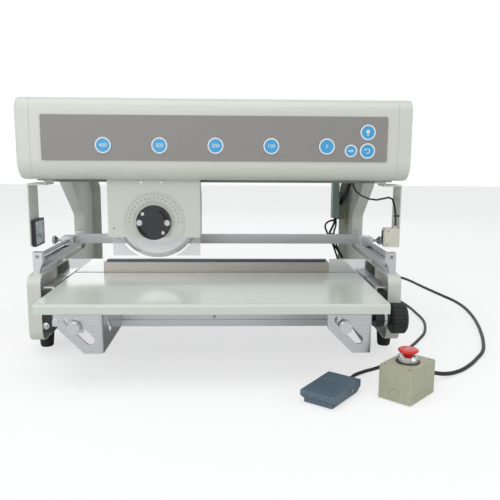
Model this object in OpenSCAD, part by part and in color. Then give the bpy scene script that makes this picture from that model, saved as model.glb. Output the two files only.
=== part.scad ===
// Bench-top depaneling machine: a round knife on a motor-driven carriage runs
// along a straight lower knife and parts scored circuit boards.
// X runs along the cut, Y from the operator to the back, Z up from the bench.
// Y = 0 is the front face of the lower knife, X = 0 the middle of the machine.

/* [Side frames] */
// Width over the two side frames
frame_w = 692; // [680:1:704]
// Sheet thickness of a side frame
frame_t = 3; // [2:0.5:4]
// Width of the rim that is turned inward round each side frame
rim_w = 24.5; // [23:0.5:25.5]
// Reach of the side frames in front of the knife plane
frame_front = 101; // [99:1:102]
// Reach of the side frames behind the knife plane
frame_back = 435; // [415:5:460]
// Height of the lower arm's top above the bench
arm_top = 152; // [149:1:155]
// Front of the rear column, behind the knife plane
column_y = 248; // [240:1:260]
// Height at which the column starts to lean forward
bend_z = 230; // [215:1:245]
// Distance from the knife plane to the tip of the leaning neck
neck_y = 123; // [110:1:140]
// Height of a rubber foot
foot_h = 26; // [22:1:30]
// Diameter of a rubber foot at its top
foot_d = 29; // [24:1:31]

/* [Hood] */
// How far the hood stands out past each side frame
hood_over = 9; // [6:0.5:12]
// Width of an end cap
cap_w = 25; // [20:1:27]
// Reach of the hood in front of the knife plane
hood_front = 95; // [92:1:100]
// Reach of the hood behind the knife plane
hood_back = 340; // [320:5:360]
// Height of the hood's underside
hood_z0 = 327; // [325:1:330]
// Height of the hood's top
hood_z1 = 473; // [470:1:480]
// Sheet thickness of the hood
hood_t = 2.5; // [2:0.5:3]
// Radius of the hood's lower front edge
hood_r_low = 34; // [26:1:36]
// Radius of the hood's upper front edge
hood_r_top = 22; // [12:1:26]
// Thickness of the pan under the hood
pan_t = 3; // [2:0.5:3.5]
// Depth of the slot that the knife head hangs through
slot_back = 14; // [14:0.5:16]

/* [Control panel] */
// Distance from the hood's end to the panel's end
panel_in = 45.5; // [43:0.5:60]
// Height of the control panel
panel_h = 80; // [76:1:84]
// Height of the panel's lower edge above the bench
panel_z = 362; // [361:1:365]
// Thickness of the panel plate
panel_t = 2; // [1.5:0.5:2.5]
// Distance between the stop position keys
key_pitch = 100; // [90:1:104]
// Diameter of the stop position keys
key_d = 29; // [26:0.5:30]
// Diameter of the small arrow key
small_key_d = 23; // [20:0.5:25]
// How far a key stands out of the panel
key_proud = 1.6; // [1.4:0.1:2.5]
// How far a key goes in
key_travel = 1.2; // [0.6:0.1:1.2]

/* [Table] */
// Gap between the table and the rim of each side frame
table_side = 38.5; // [37:0.5:48]
// Reach of the table in front of the knife plane
table_front = 263; // [260:1:275]
// Height of the table's top
table_z = 139.5; // [139:0.5:142]
// Sheet thickness of the table
table_t = 3; // [2:0.5:3.5]
// Height of the table's front lip
table_lip = 16; // [14:0.5:18]
// Gap between the table and the lower knife
table_gap = 3.3; // [2:0.1:5]
// Distance from the table's left edge to the left bracket
bracket_in_left = 35; // [30:1:45]
// Distance from the table's right edge to the right bracket
bracket_in_right = 27; // [22:1:40]
// Width of a table bracket
bracket_w = 72; // [68:1:76]
// Sheet thickness of a table bracket
bracket_t = 3; // [2:0.5:3.5]
// Width of the slanted slot in a bracket
slot_w = 15; // [12:0.5:16]
// Length of the slanted slot between its end centres
slot_len = 46; // [44:1:48]
// Diameter of a clamp knob
clamp_d = 20; // [18:0.5:24]
// Diameter of the studs that the clamp knobs turn on
stud_d = 8; // [6:0.5:9]

/* [Height adjuster] */
// Diameter of the hand wheel
wheel_d = 56; // [50:1:58]
// Width of the hand wheel
wheel_w = 29; // [24:1:30]
// Height of the hand wheel's axis
wheel_z = 80.5; // [76:0.5:86]
// Distance of the hand wheel's axis in front of the knife plane
wheel_front = 132; // [132:1:136]
// Diameter of the adjusting spindle
spindle_d = 10; // [8:0.5:12]

/* [Knives] */
// Length of the lower knife
knife_len = 438; // [400:2:446]
// Height of the lower knife's edge
knife_z = 166; // [165:0.5:167]
// Width of the round knife's seat for the lower knife
knife_w = 10; // [8:0.5:12]
// Length of the bed that carries the lower knife
bed_len = 450; // [448:1:470]
// Radius of the round knife
round_r = 79.5; // [78:0.5:82]
// Thickness of the round knife
round_t = 3; // [2:0.5:4]
// Gap between the two knives
knife_gap = 3.8; // [3:0.1:6]
// Throw of the eccentric that sets the gap
throw = 3.3; // [2:0.1:4]

/* [Knife head] */
// Place of the head's middle along the travel
head_x = -118; // [-190:1:190]
// Width of the head
head_w = 174; // [170:1:180]
// Distance of the head's front plate in front of the knife plane
head_front = 50; // [49:0.5:51]
// Height of the head plate's lower edge
head_z = 217; // [212:1:222]
// Radius of the black setting hub
hub_r = 32.5; // [30:0.5:34]
// Radius of the angle scale
scale_r = 58; // [50:0.5:62]
// Diameter of the hub's shaft
shaft_d = 50; // [44:1:52]
// Diameter of the eccentric journal
journal_d = 24; // [20:1:26]
// Thickness of the clear knife guard
guard_t = 3; // [2:0.5:4]

/* [Rear fence] */
// Distance of the guide rods inside the outer faces of the side frames
rod_in = 15; // [14:0.5:17]
// Diameter of a guide rod
rod_d = 8; // [6:0.5:9]
// Height of the guide rods above the bench
rod_z = 184.5; // [184:0.5:187]
// Distance of the front rod brackets in front of the knife plane
rod_front = 80; // [74:1:86]
// Front of the sliding blocks behind the knife plane
block_y = 125; // [118:1:135]
// Width of a sliding block
block_w = 24; // [22:1:25]
// Depth of a sliding block
block_l = 30; // [26:1:34]
// Height of a sliding block
block_h = 19; // [17:0.5:20]
// Height of the fence bar
bar_h = 21; // [18:0.5:24]
// Diameter of a thumb screw's head
thumb_d = 19; // [16:0.5:20]

/* [Light barrier] */
// Depth of the strips that carry the light barrier
strip_w = 54; // [50:1:58]
// Lower end of the strips
strip_z = 200; // [198:1:206]
// Height of the reflector
reflector_h = 51; // [46:1:54]
// Height of the sensor
sensor_h = 36; // [32:1:40]

/* [Stop box and pedal] */
// Length of the stop box
box_l = 80; // [74:1:84]
// Width of the stop box
box_w = 56; // [52:1:60]
// Height of the stop box
box_h = 55; // [50:1:60]
// Diameter of the stop button
stop_d = 32; // [28:0.5:36]
// How far the stop button goes in
stop_travel = 4; // [2:0.5:5]
// Length of the foot pedal
pedal_l = 91; // [84:1:96]
// Width of the foot pedal
pedal_w = 57; // [52:1:62]
// Height of the foot pedal at its back
pedal_h = 25; // [24:0.5:27]
// Diameter of the stop button's lead
stop_lead_d = 7; // [5:0.5:8]
// Diameter of the pedal's lead
pedal_lead_d = 6; // [4:0.5:7]

/* [Hidden] */
$fn = 64;

// Clearances: faces that slide past each other, and round fits that turn
slide_gap = 0.3;
fit_gap = 0.06;
// A cut runs this far past the face that it opens
cut = 1;

// Half widths
fx = frame_w / 2;
web_x = fx - frame_t;
rim_x = fx - rim_w;
hx = fx + hood_over;
seam_x = hx - cap_w;
frame_top = hood_z0 - pan_t;

// Colours of the paint and metals
paint = [0.84, 0.86, 0.81];
steel = [0.76, 0.77, 0.78];
alu = [0.80, 0.80, 0.82];
black = [0.10, 0.10, 0.11];

// ---------------------------------------------------------------- helpers

// A profile in (y, z) drawn out along X
module along_x(x0, x1) {
  translate([x0, 0, 0]) rotate([90, 0, 90]) linear_extrude(x1 - x0) children();
}

// A profile in (x, z) drawn out along Y
module along_y(y0, y1) {
  translate([0, y1, 0]) rotate([90, 0, 0]) linear_extrude(y1 - y0) children();
}

// A plain block from its low corner to its high corner
module block(a, b) {
  translate(a) cube(b - a);
}

// A round bar along Y or X between two places
module bar_y(x, z, y0, y1, r) {
  translate([x, y1, z]) rotate([90, 0, 0]) cylinder(h = y1 - y0, r = r);
}
module bar_x(y, z, x0, x1, r) {
  translate([x0, y, z]) rotate([0, 90, 0]) cylinder(h = x1 - x0, r = r);
}

// The same thing on the left and on the right
module both_sides() {
  children();
  mirror([1, 0, 0]) children();
}

// A slot with round ends, from the origin along X
module slot_2d(length, width) {
  translate([0, -width / 2]) square([length, width]);
  circle(d = width);
  translate([length, 0]) circle(d = width);
}

function unit(v) = v / norm(v);

// Points of the arc that rounds corner b between a and c
function corner_arc(a, b, c, r, n) = r <= 0 ? [b] : let(
    u = unit(a - b),
    w = unit(c - b),
    half = acos(u * w) / 2,
    mid = b + unit(u + w) * r / sin(half),
    p0 = b + u * r / tan(half) - mid,
    p1 = b + w * r / tan(half) - mid,
    a0 = atan2(p0.y, p0.x),
    turn = (atan2(p1.y, p1.x) - a0 + 540) % 360 - 180)
  [for (i = [0:n]) mid + r * [cos(a0 + turn * i / n), sin(a0 + turn * i / n)]];

// A closed outline with its corners rounded
function rounded(path, radii, n = 6) = let(m = len(path))
  [for (i = [0:m - 1]) each corner_arc(path[(i + m - 1) % m], path[i], path[(i + 1) % m], radii[i], n)];

// A closed anticlockwise outline moved inward by d
function inset(path, d) = let(m = len(path))
  [for (i = [0:m - 1]) let(
      e0 = unit(path[i] - path[(i + m - 1) % m]),
      e1 = unit(path[(i + 1) % m] - path[i]),
      n0 = [-e0.y, e0.x],
      n1 = [-e1.y, e1.x])
    path[i] + (n0 + n1) * d / (1 + n0 * n1)];

// Radii of an outline that was moved inward: less at outer corners, more at inner ones
function inset_radii(path, radii, d) = let(m = len(path))
  [for (i = [0:m - 1]) let(
      e0 = path[i] - path[(i + m - 1) % m],
      e1 = path[(i + 1) % m] - path[i],
      left = e0.x * e1.y - e0.y * e1.x > 0)
    max(0, radii[i] + (left ? -d : d))];

// A rectangle with round corners, centred
module round_rect(w, h, r) {
  polygon(rounded([[-w / 2, -h / 2], [w / 2, -h / 2], [w / 2, h / 2], [-w / 2, h / 2]], [r, r, r, r]));
}

// A toothed wheel outline for knurls and grips
module knurl_2d(r, depth, teeth) {
  polygon([for (i = [0:teeth * 4 - 1]) let(a = i * 90 / teeth)
    (i % 4 < 2 ? r : r - depth) * [cos(a), sin(a)]]);
}

// A smooth tube through route points, as one polyhedron
function spline(p, i, t) = let(
    m = len(p) - 1,
    a = p[max(i - 1, 0)],
    b = p[i],
    c = p[min(i + 1, m)],
    d = p[min(i + 2, m)])
  0.5 * (2 * b + (c - a) * t + (2 * a - 5 * b + 4 * c - d) * t * t + (3 * b - a - 3 * c + d) * t * t * t);
function smooth(p, steps) = concat(
  [for (i = [0:len(p) - 2]) for (k = [0:steps - 1]) spline(p, i, k / steps)],
  [p[len(p) - 1]]);
function tangent(q, i) = unit(q[min(i + 1, len(q) - 1)] - q[max(i - 1, 0)]);
function flats(q, i, last) = i == len(q) ? [] : let(
    t = tangent(q, i),
    flat = unit(last - (last * t) * t))
  concat([flat], flats(q, i + 1, flat));
module tube(route, d, sides, steps) {
  q = smooth(route, steps);
  n = len(q);
  side = flats(q, 0, [1, 0, 0]);
  rings = [for (i = [0:n - 1]) let(up = cross(tangent(q, i), side[i]))
    for (k = [0:sides - 1]) q[i] + d / 2 * (cos(360 * k / sides) * side[i] + sin(360 * k / sides) * up)];
  polyhedron(points = rings, faces = concat(
    [[for (k = [0:sides - 1]) k]],
    [for (i = [0:n - 2]) for (k = [0:sides - 1]) let(k2 = (k + 1) % sides)
      [i * sides + k, (i + 1) * sides + k, (i + 1) * sides + k2, i * sides + k2]],
    [[for (k = [sides - 1:-1:0]) (n - 1) * sides + k]]));
}

// ------------------------------------------------------------ side frames

frame_path = [[-frame_front, foot_h], [frame_back, foot_h], [frame_back, 287], [372, frame_top],
  [neck_y, frame_top], [column_y, bend_z], [column_y, arm_top], [-frame_front, arm_top]];
// Radius in the corner between the arm and the column
corner_r = 4;
frame_radii = [22, 22, 26, 14, 4, 22, corner_r, 18];
// Height of the cord glands in the right frame's back rim
gland_x = (fx + rim_x) / 2;
stop_gland_z = 60;
pedal_gland_z = 95;
gland_r = 9;

module side_frame() {
  along_x(web_x, fx) polygon(rounded(frame_path, frame_radii));
  along_x(rim_x, fx) difference() {
    polygon(rounded(frame_path, frame_radii));
    polygon(rounded(inset(frame_path, frame_t), inset_radii(frame_path, frame_radii, frame_t)));
  }
}

module left_side_frame() {
  color(paint) mirror([1, 0, 0]) side_frame();
}

module right_side_frame() {
  color(paint) side_frame();
}

foot_inset = 64;
module rubber_feet() {
  foot_y = [-frame_front + foot_inset, frame_back - foot_inset];
  color(black) both_sides() for (y = foot_y) translate([gland_x, y, 0]) {
    translate([0, 0, 3]) cylinder(h = foot_h - 3, r1 = foot_d / 2 - 2, r2 = foot_d / 2);
    cylinder(h = 3, r1 = foot_d / 2 - 3.5, r2 = foot_d / 2 - 2);
  }
}

// ------------------------------------------------------------- base, knives

beam_front = frame_front - frame_t;
beam_back = 62;
beam_z0 = 56;
beam_h = 60;
beam_z1 = beam_z0 + beam_h;
// Room between the beam's end and the frame's rim
beam_room = 17.5;
beam_x = rim_x - beam_room;
beam_wall = 4;
beam_lip = 12;

// One chamber of the beam's hollow profile
module chamber(y0, y1) {
  translate([y0, beam_z0 + beam_wall]) square([y1 - y0, beam_h - 2 * beam_wall]);
}

module base_beam() {
  mid = (beam_back - beam_front) / 2;
  cover_x = rim_x - 22;
  cover_y = -beam_front + 8;
  cover_z = beam_z1 + 11;
  color(alu) {
    along_x(-beam_x, beam_x) difference() {
      translate([-beam_front, beam_z0]) square([beam_front + beam_back, beam_h]);
      translate([-beam_front - cut, beam_z0 + beam_lip]) square([cut + 3, beam_h - beam_lip - 8]);
      chamber(-beam_front + 7, mid - beam_wall / 2);
      chamber(mid + beam_wall / 2, beam_back - beam_wall);
    }
    both_sides() difference() {
      block([beam_x, -55, beam_z0 + 2], [web_x, 55, beam_z1 - 2]);
      block([beam_x + 8, -45, beam_z0 - cut], [web_x - 6, 45, beam_z1 - 16]);
    }
    // Pale cover plates beside the table, each with two holes
    both_sides() difference() {
      union() {
        block([cover_x, cover_y, beam_z1], [cover_x + 4, -table_gap, cover_z]);
        block([cover_x, cover_y, cover_z], [rim_x - 1, -table_gap, cover_z + 3]);
      }
      for (y = [cover_y + 8, -table_gap - 9]) translate([rim_x - 10, y, beam_z1]) cylinder(h = 20, d = 6.4);
    }
  }
}

bed_back = 42;
bed_z = knife_z - 6;
plate_t = 2;
module knife_bed() {
  color(steel) difference() {
    union() {
      block([-bed_len / 2, 0, beam_z1], [bed_len / 2, bed_back, bed_z]);
      block([-rim_x + 3, plate_t, beam_z1], [rim_x - 3, bed_back, bed_z - 10]);
    }
    // Screws that hold the knife from behind
    for (x = [-200:50:200]) bar_y(x, bed_z - 8, 24, bed_back + cut, 4);
  }
}

edge_y = 1;
module lower_knife() {
  color([0.16, 0.18, 0.22]) along_x(-knife_len / 2, knife_len / 2) polygon([[0, bed_z], [knife_w, bed_z],
    [knife_w, bed_z + 2.5], [edge_y + 0.4, knife_z], [edge_y - 0.4, knife_z], [0, knife_z - 1.5]]);
}

module polished_end_plates() {
  x0 = bed_len / 2 + 1;
  x1 = rim_x - 1.5;
  z0 = beam_z1 + 1;
  z1 = knife_z + 0.5;
  color([0.85, 0.86, 0.87]) both_sides() along_y(0, plate_t - 0.2)
    polygon(rounded([[x0, z0], [x1, z0], [x1, z1], [x0, z1]], [0, 0, 12, 1]));
}

// ------------------------------------------------------------------- table

table_x = rim_x - table_side;
table_rise = 15.5;
side_lip = table_z - table_t - table_rise - beam_z1 + table_t;
module table_top() {
  under = table_z - table_t;
  color(paint) difference() {
    along_x(-table_x, table_x) polygon(rounded([[-table_front, table_z - table_lip],
      [-table_front + table_t, table_z - table_lip], [-table_front + table_t, table_z - side_lip],
      [-table_gap, table_z - side_lip], [-table_gap, table_z], [-table_front, table_z]],
      [0, 0, 0, 0, 0.5, 5]));
    block([-table_x + table_t, -table_front + table_t, table_z - side_lip - cut],
      [table_x - table_t, -table_gap - table_t, under]);
  }
}

bracket_y = -table_front + 7;
bracket_back = -beam_front;
bracket_z0 = beam_z0 + 1;
bracket_z1 = table_z - table_t - table_rise;
// Upper end of the slanted slot, from the bracket's left edge and above the bench
slot_u = 18;
slot_z = 112;
// The stud stands this far down the slot at rest
stud_along = 14;
stud_u = slot_u + stud_along * cos(45);
stud_z = slot_z - stud_along * sin(45);
bracket_xs = [bracket_in_left - table_x, table_x - bracket_in_right - bracket_w];

module table_bracket() {
  fold_r = 5;
  corner = 41;
  shape = rounded([[0, 0], [bracket_w, 0], [bracket_w, bracket_back - bracket_y],
    [bracket_w - bracket_t, bracket_back - bracket_y], [bracket_w - bracket_t, bracket_t], [0, bracket_t]],
    [0, fold_r, 0, 0, fold_r - bracket_t, 0]);
  difference() {
    translate([0, bracket_y, bracket_z0]) linear_extrude(bracket_z1 - bracket_z0) polygon(shape);
    // Lower corner cut off at 45 degrees
    along_y(bracket_y - cut, bracket_y + bracket_t + cut)
      polygon([[-cut, bracket_z0 - cut], [corner + cut, bracket_z0 - cut], [-cut, bracket_z0 + corner + cut]]);
    // Slanted slot for the clamp stud
    along_y(bracket_y - cut, bracket_y + bracket_t + cut)
      translate([slot_u, slot_z]) rotate(-45) slot_2d(slot_len, slot_w);
    // Window in the side plate
    along_x(bracket_w - bracket_t - cut, bracket_w + cut)
      translate([bracket_y + 34, bracket_z1 - 12]) rotate(-45) slot_2d(44, slot_w);
  }
  // Foot that is screwed to the beam's front
  block([bracket_w - bracket_t - 24, bracket_back - bracket_t, bracket_z0 + 2],
    [bracket_w - bracket_t, bracket_back, beam_z0 + beam_lip - 0.5]);
}

module table_brackets() {
  color(steel) for (x = bracket_xs) translate([x, 0, 0]) table_bracket();
}

module table_lugs() {
  y0 = bracket_y + bracket_t + slide_gap;
  under = table_z - table_t;
  lug_w = 24;
  tab_x = table_x - table_t;
  color(steel) {
    for (x = bracket_xs) translate([x + stud_u, 0, 0]) {
      block([-lug_w / 2, y0, stud_z - 12], [lug_w / 2, y0 + 3, under]);
      block([-lug_w / 2, y0 + 3, under - 3], [lug_w / 2, y0 + 22, under]);
      bar_y(0, stud_z, bracket_y - 9, y0 + 1, stud_d / 2);
    }
    // Tab that the adjusting spindle bears on
    block([tab_x - 3, -wheel_front - 14, wheel_z - 15], [tab_x, -wheel_front + 14, under]);
  }
}

module clamp_knob(x) {
  y1 = bracket_y - slide_gap;
  color(steel) difference() {
    union() {
      along_y(y1 - 10, y1 - 2) translate([x, stud_z]) knurl_2d(clamp_d / 2, 0.5, 40);
      bar_y(x, stud_z, y1 - 12, y1 - 10, clamp_d / 2 - 0.8);
      bar_y(x, stud_z, y1 - 2, y1, clamp_d / 2 - 1.5);
    }
    bar_y(x, stud_z, y1 - 9.2, y1 + cut, stud_d / 2 + fit_gap);
  }
}

module left_clamp_knob() {
  clamp_knob(bracket_xs[0] + stud_u);
}

module right_clamp_knob() {
  clamp_knob(bracket_xs[1] + stud_u);
}

// --------------------------------------------------------- height adjuster

// Way the table can move to the right before it meets the bearing
table_way = 6;
bearing_x0 = table_x + table_way;
bearing_x1 = bearing_x0 + 14;
washer_x = bearing_x1 + 2.5;
washer_w = 5;
wheel_x = washer_x + washer_w + 7;
module adjuster_blocks() {
  inner = beam_x + slide_gap;
  outer = rim_x - 0.5;
  front = -beam_front;
  bridge_y = -wheel_front + wheel_d / 2 + 0.6;
  color(black) {
    difference() {
      union() {
        block([bearing_x0, bridge_y, wheel_z - 18], [outer, front - slide_gap, wheel_z + 16]);
        block([bearing_x0, -wheel_front, wheel_z - 16], [bearing_x1, front - slide_gap, wheel_z + 16]);
        bar_x(-wheel_front, wheel_z, bearing_x0, bearing_x1, 16);
        block([inner, front - slide_gap - 1, wheel_z - 18], [outer, front + 36, wheel_z + 40]);
      }
      bar_x(-wheel_front, wheel_z, bearing_x0 - cut, bearing_x1 + cut, spindle_d / 2 + fit_gap);
    }
    // Stop block on the left frame
    block([-outer, front, 44], [-inner, front + 36, 84]);
  }
}

module thrust_washer() {
  color(steel) difference() {
    bar_x(-wheel_front, wheel_z, washer_x, washer_x + washer_w, 15);
    bar_x(-wheel_front, wheel_z, washer_x - cut, washer_x + washer_w + cut, spindle_d / 2 + fit_gap);
  }
}

module handwheel() {
  tip = table_x - table_t + slide_gap;
  color(black) {
    translate([wheel_x, -wheel_front, wheel_z]) rotate([0, 90, 0]) {
      translate([0, 0, 3]) linear_extrude(wheel_w - 6) knurl_2d(wheel_d / 2, 1.2, 24);
      cylinder(h = 3, r1 = wheel_d / 2 - 5, r2 = wheel_d / 2 - 1.2);
      translate([0, 0, wheel_w - 3]) cylinder(h = 3, r1 = wheel_d / 2 - 1.2, r2 = wheel_d / 2 - 4);
    }
    bar_x(-wheel_front, wheel_z, washer_x + washer_w + 0.1, wheel_x + cut, 13);
    bar_x(-wheel_front, wheel_z, tip, wheel_x + cut, spindle_d / 2);
  }
}

// -------------------------------------------------------------- rear fence

rod_x = fx - rod_in;
rod_bracket_w = 17.5;
rod_bracket_t = 14;
rear_bracket_y = column_y - corner_r - rod_bracket_t;
module rod_bracket(y) {
  x0 = rod_x - rod_bracket_w / 2;
  x1 = rod_x + rod_bracket_w / 2;
  difference() {
    along_y(y, y + rod_bracket_t) polygon([[x0, rod_z - 12], [x0 + 6, arm_top + 5], [x0 + 6, arm_top],
      [x1, arm_top], [x1, rod_z + 8], [x0, rod_z + 8]]);
    bar_y(rod_x, rod_z, y + 3, y + rod_bracket_t + cut, rod_d / 2 + fit_gap);
  }
}

module rod_brackets() {
  color(alu) both_sides() {
    rod_bracket(-rod_front);
    translate([0, 2 * rear_bracket_y + rod_bracket_t, 0]) mirror([0, 1, 0]) rod_bracket(rear_bracket_y);
  }
}

support_top = rod_z - block_h / 2 - 0.5;
module guide_rails() {
  y0 = -rod_front + rod_bracket_t;
  color(steel) both_sides() {
    bar_y(rod_x, rod_z, -rod_front + 4, rear_bracket_y + rod_bracket_t - 4, rod_d / 2);
    along_y(y0, rear_bracket_y) difference() {
      translate([rod_x - 8, support_top - 13]) square([16, 13]);
      translate([rod_x - 5, support_top - 3]) square([10, 3 + cut]);
    }
  }
}

module rear_fence() {
  inner = rod_x - block_w / 2;
  y1 = block_y + block_l;
  mid = block_y + block_l / 2;
  color(alu) {
    both_sides() difference() {
      along_y(block_y, y1) translate([rod_x, rod_z]) round_rect(block_w, block_h, 1.5);
      bar_y(rod_x, rod_z, block_y - cut, y1 + cut, rod_d / 2 + fit_gap);
      bar_x(mid, rod_z, rod_x, rod_x + block_w, 3 + fit_gap);
    }
    difference() {
      block([-inner - 1, y1 - 8, rod_z - block_h / 2 + 1], [inner + 1, y1, rod_z - block_h / 2 + 1 + bar_h]);
      block([-inner + 9, y1 - 3, rod_z - 3], [inner - 9, y1 + cut, rod_z + 6]);
    }
  }
}

module thumb_screw() {
  mid = block_y + block_l / 2;
  shaft_x = rod_x + rod_d / 2 + 0.2;
  head_x0 = rod_x + block_w / 2 + 12;
  bar_x(mid, rod_z, shaft_x, head_x0 + cut, 3);
  translate([head_x0, mid, rod_z]) rotate([0, 90, 0]) {
    cylinder(h = 5, r1 = 4.5, r2 = thumb_d / 2 - 1);
    translate([0, 0, 5]) linear_extrude(5) knurl_2d(thumb_d / 2, 0.4, 36);
    translate([0, 0, 10]) cylinder(h = 1, r1 = thumb_d / 2 - 0.4, r2 = thumb_d / 2 - 1.4);
  }
}

module left_thumb_screw() {
  color(steel) mirror([1, 0, 0]) thumb_screw();
}

module right_thumb_screw() {
  color(steel) thumb_screw();
}

// -------------------------------------------------------------------- hood

// The hood's section, moved inward by d
module hood_section(d) {
  y0 = -hood_front + d;
  y1 = hood_back - d;
  z0 = hood_z0 + d;
  z1 = hood_z1 - d;
  difference() {
    translate([y0, z0]) square([y1 - y0, z1 - z0]);
    translate([y0, z0]) edge_cut(hood_r_low - d);
    translate([y0, z1]) mirror([0, 1]) edge_cut(hood_r_top - d);
    translate([y1, z1]) mirror([1, 0]) mirror([0, 1]) edge_cut(6 - d);
  }
}

// What a rounded corner takes away from a square one
module edge_cut(r) {
  difference() {
    translate([-cut, -cut]) square(r + cut);
    translate([r, r]) circle(r = r, $fn = 96);
  }
}

// Centres of the keys: x, z, diameter
key_z = panel_z + 27;
key_spots = [for (i = [0:4]) [(i - 2) * key_pitch, key_z, key_d]];
side_key_x = hx - panel_in - 36;
lamp_spot = [side_key_x, panel_z + 52.5, key_d - 1];
arrow_spot = [side_key_x - 30, panel_z + 19.5, small_key_d];
return_spot = [side_key_x, panel_z + 19.5, key_d - 1];
stem_r = 4;
lip_end = -hood_front + hood_r_low + 6;

module housing_cover() {
  half = seam_x - slide_gap;
  color(paint) difference() {
    along_x(-half, half) difference() {
      hood_section(0);
      hood_section(hood_t);
      translate([lip_end, hood_z0 - cut]) square([hood_back, hood_t + cut + 0.5]);
      translate([hood_back - hood_t, hood_z0 - cut]) square([hood_t + cut, hood_z1 - hood_z0 - hood_t + cut]);
    }
    for (s = concat(key_spots, [lamp_spot, arrow_spot, return_spot]))
      bar_y(s.x, s.y, -hood_front - cut, -hood_front + 10, stem_r + slide_gap);
  }
}

module end_cap() {
  wall = 3;
  difference() {
    hull() {
      along_x(seam_x, hx - 4) hood_section(0);
      along_x(hx - 4, hx - 1.2) hood_section(1.1);
      along_x(hx - 1.2, hx) hood_section(4);
    }
    along_x(seam_x - cut, hx - wall) hood_section(wall);
  }
}

module end_caps() {
  color(paint) both_sides() end_cap();
}

inlet_x = -seam_x + 80;
inlet_z = 380;
module rear_cover() {
  half = seam_x - slide_gap;
  y1 = hood_back - slide_gap;
  color(paint) difference() {
    block([-half, y1 - 2, hood_z0], [half, y1, hood_z1 - hood_t - slide_gap]);
    block([inlet_x - 14, 0, inlet_z - 24], [inlet_x + 14, hood_back + cut, inlet_z + 24]);
    // Cooling slots
    for (x = [60:14:seam_x - 120]) along_y(y1 - 5, hood_back + cut) translate([x, 400]) rotate(90) slot_2d(40, 5);
  }
}

pan_step = seam_x - 32;
module bottom_pan() {
  half = seam_x - slide_gap;
  wide = fx - 4;
  lip = 5.5;
  back = hood_back - slide_gap - 2;
  color([0.55, 0.57, 0.53]) {
    difference() {
      union() {
        block([-half, lip_end - 6, frame_top], [half, back, hood_z0]);
        block([-wide, slot_back, frame_top], [wide, back, hood_z0]);
      }
      block([-pan_step, lip_end - 7, frame_top - cut], [pan_step, slot_back, hood_z0 + cut]);
    }
    // Front lip with cut corners
    along_y(slot_back, slot_back + pan_t) polygon([[-wide, frame_top], [-wide + 8, frame_top - lip],
      [wide - 8, frame_top - lip], [wide, frame_top]]);
  }
}

module control_panel() {
  color([0.61, 0.60, 0.58]) difference() {
    translate([0, 0, panel_z + panel_h / 2]) along_y(-hood_front - panel_t, -hood_front)
      round_rect(2 * (hx - panel_in), panel_h, 3);
    for (s = concat(key_spots, [lamp_spot, arrow_spot, return_spot]))
      bar_y(s.x, s.y, -hood_front - panel_t - cut, -hood_front + cut, s.z / 2 + 0.4);
  }
}

module key(s) {
  front = -hood_front - panel_t - key_proud;
  back = -hood_front - key_travel - slide_gap;
  color([0.31, 0.70, 0.88]) {
    bar_y(s.x, s.y, front + 0.6, back, s.z / 2);
    translate([s.x, front + 0.6, s.y]) rotate([90, 0, 0]) cylinder(h = 0.6, r1 = s.z / 2, r2 = s.z / 2 - 0.6);
    bar_y(s.x, s.y, back - 0.5, -hood_front + hood_t + 4, stem_r);
  }
}

module key_400() {
  key(key_spots[0]);
}

module key_300() {
  key(key_spots[1]);
}

module key_200() {
  key(key_spots[2]);
}

module key_100() {
  key(key_spots[3]);
}

module key_0() {
  key(key_spots[4]);
}

module lamp_key() {
  key(lamp_spot);
}

module arrow_key() {
  key(arrow_spot);
}

module return_key() {
  key(return_spot);
}

// ------------------------------------------------------- drive in the hood

guide_w = 50;
guide_h = 70;
guide_wall = 5;
guide_z1 = hood_z0 + guide_h;
guide_back = slot_back + guide_w;
rail_z = hood_z0 + 35;
rail_h = 15;
rail_t = 12;
module guide_beam() {
  color(alu) {
    along_x(-seam_x + 1, seam_x - 1) difference() {
      translate([slot_back, hood_z0]) square([guide_w, guide_h]);
      for (z = [hood_z0 + guide_wall, hood_z0 + guide_wall / 2 + guide_h / 2])
        translate([slot_back + guide_wall, z]) square([guide_w - 2 * guide_wall, guide_h / 2 - 1.5 * guide_wall]);
    }
    along_x(-seam_x + 15, seam_x - 15) polygon([[slot_back, rail_z - rail_h / 2], [slot_back, rail_z + rail_h / 2],
      [slot_back - rail_t, rail_z + rail_h / 2], [slot_back - rail_t, rail_z + 4.5],
      [slot_back - rail_t + 3, rail_z + 2.5], [slot_back - rail_t + 3, rail_z - 2.5],
      [slot_back - rail_t, rail_z - 4.5], [slot_back - rail_t, rail_z - rail_h / 2]]);
  }
}

pulley_x = seam_x - 30;
pulley_z = hood_z0 + 109;
pulley_r = 12;
belt_t = 1.5;
belt_y0 = -22;
belt_y1 = -12;
motor_shaft_r = 4;
motor_w = 56;
motor_l = 62;
mount_t = 4;
module belt_mounts() {
  color(alu) both_sides() difference() {
    union() {
      block([pulley_x - 32, slot_back, guide_z1], [pulley_x + 28, slot_back + mount_t, pulley_z + 28]);
      block([pulley_x - 32, slot_back, guide_z1], [pulley_x + 28, guide_back, guide_z1 + mount_t]);
    }
    bar_y(pulley_x, pulley_z, slot_back - cut, slot_back + mount_t + cut, 19);
  }
  // Idler pulley's stub axle on its flange
  color(steel) {
    bar_y(-pulley_x, pulley_z, belt_y0 - 1, slot_back + 1, motor_shaft_r);
    bar_y(-pulley_x, pulley_z, slot_back, slot_back + mount_t + 3, 19);
  }
}

module drive_motor() {
  y0 = slot_back + mount_t;
  color(black) {
    along_y(y0, y0 + motor_l) translate([pulley_x, pulley_z]) round_rect(motor_w, motor_w, 5);
    bar_y(pulley_x, pulley_z, slot_back, y0 + 1, 18.8);
    bar_y(pulley_x, pulley_z, belt_y0 - 1, slot_back + 1, motor_shaft_r);
  }
}

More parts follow.
